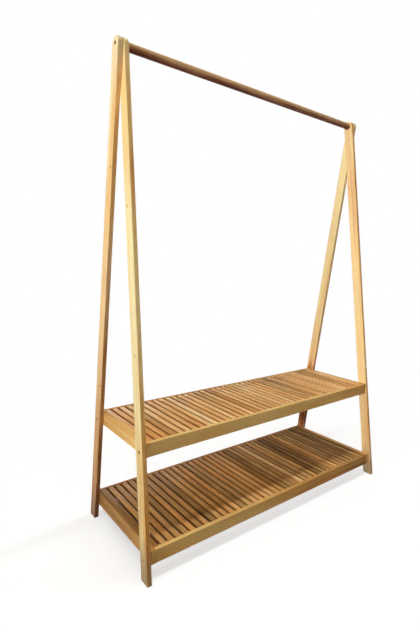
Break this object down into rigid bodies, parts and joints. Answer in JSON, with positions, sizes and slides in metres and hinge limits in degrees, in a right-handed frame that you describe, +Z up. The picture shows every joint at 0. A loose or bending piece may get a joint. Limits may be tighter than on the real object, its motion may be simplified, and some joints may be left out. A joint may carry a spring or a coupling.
{
  "type": "clothes rack",
  "caption": "Open wooden A-frame wardrobe: splayed lapped legs carry a round hanging rail over two slatted shelves.",
  "frame": {"origin": "on the floor, under the middle of the hanging rail", "axes": "+X along the hanging rail towards the right-hand end, +Y towards the back, +Z up"},
  "size_m": [1.123, 0.4304, 1.5192],
  "materials": {
    "leg_wood": "clear oiled, straight grained, eased edges",
    "rail_wood": "clear oiled, darker heartwood, turned round",
    "board_wood": "clear oiled, planed",
    "slat_wood": "clear oiled, planed, varying from slat to slat",
    "dowel_wood": "bare turned beech",
    "bolt_steel": "yellow zinc plated, dulled",
    "washer_steel": "zinc plated",
    "insert_brass": "plain"
  },
  "bodies": {
    "root": {"front_left_leg": "leg_wood", "front_right_leg": "leg_wood", "rear_left_leg": "leg_wood", "rear_right_leg": "leg_wood", "hanging_rail": "rail_wood", "rail_inserts": "insert_brass", "apex_bolts": "bolt_steel", "lap_washers": "washer_steel", "upper_front_rail": "board_wood", "upper_back_rail": "board_wood", "upper_left_end": "board_wood", "upper_right_end": "board_wood", "upper_bolts": "bolt_steel", "upper_inserts": "insert_brass", "upper_dowels": "dowel_wood", "lower_front_rail": "board_wood", "lower_back_rail": "board_wood", "lower_left_end": "board_wood", "lower_right_end": "board_wood", "lower_bolts": "bolt_steel", "lower_inserts": "insert_brass", "lower_dowels": "dowel_wood", "lower_spacers": "washer_steel", "upper_slats_1": "slat_wood", "upper_slats_2": "slat_wood", "upper_slats_3": "slat_wood", "upper_slats_4": "slat_wood", "upper_slats_5": "slat_wood", "upper_slats_6": "slat_wood", "upper_slats_7": "slat_wood", "upper_slats_8": "slat_wood", "upper_slats_9": "slat_wood", "upper_slats_10": "slat_wood", "lower_slats_1": "slat_wood", "lower_slats_2": "slat_wood", "lower_slats_3": "slat_wood", "lower_slats_4": "slat_wood", "lower_slats_5": "slat_wood", "lower_slats_6": "slat_wood", "lower_slats_7": "slat_wood", "lower_slats_8": "slat_wood", "lower_slats_9": "slat_wood", "lower_slats_10": "slat_wood"}
  },
  "joints": []
}
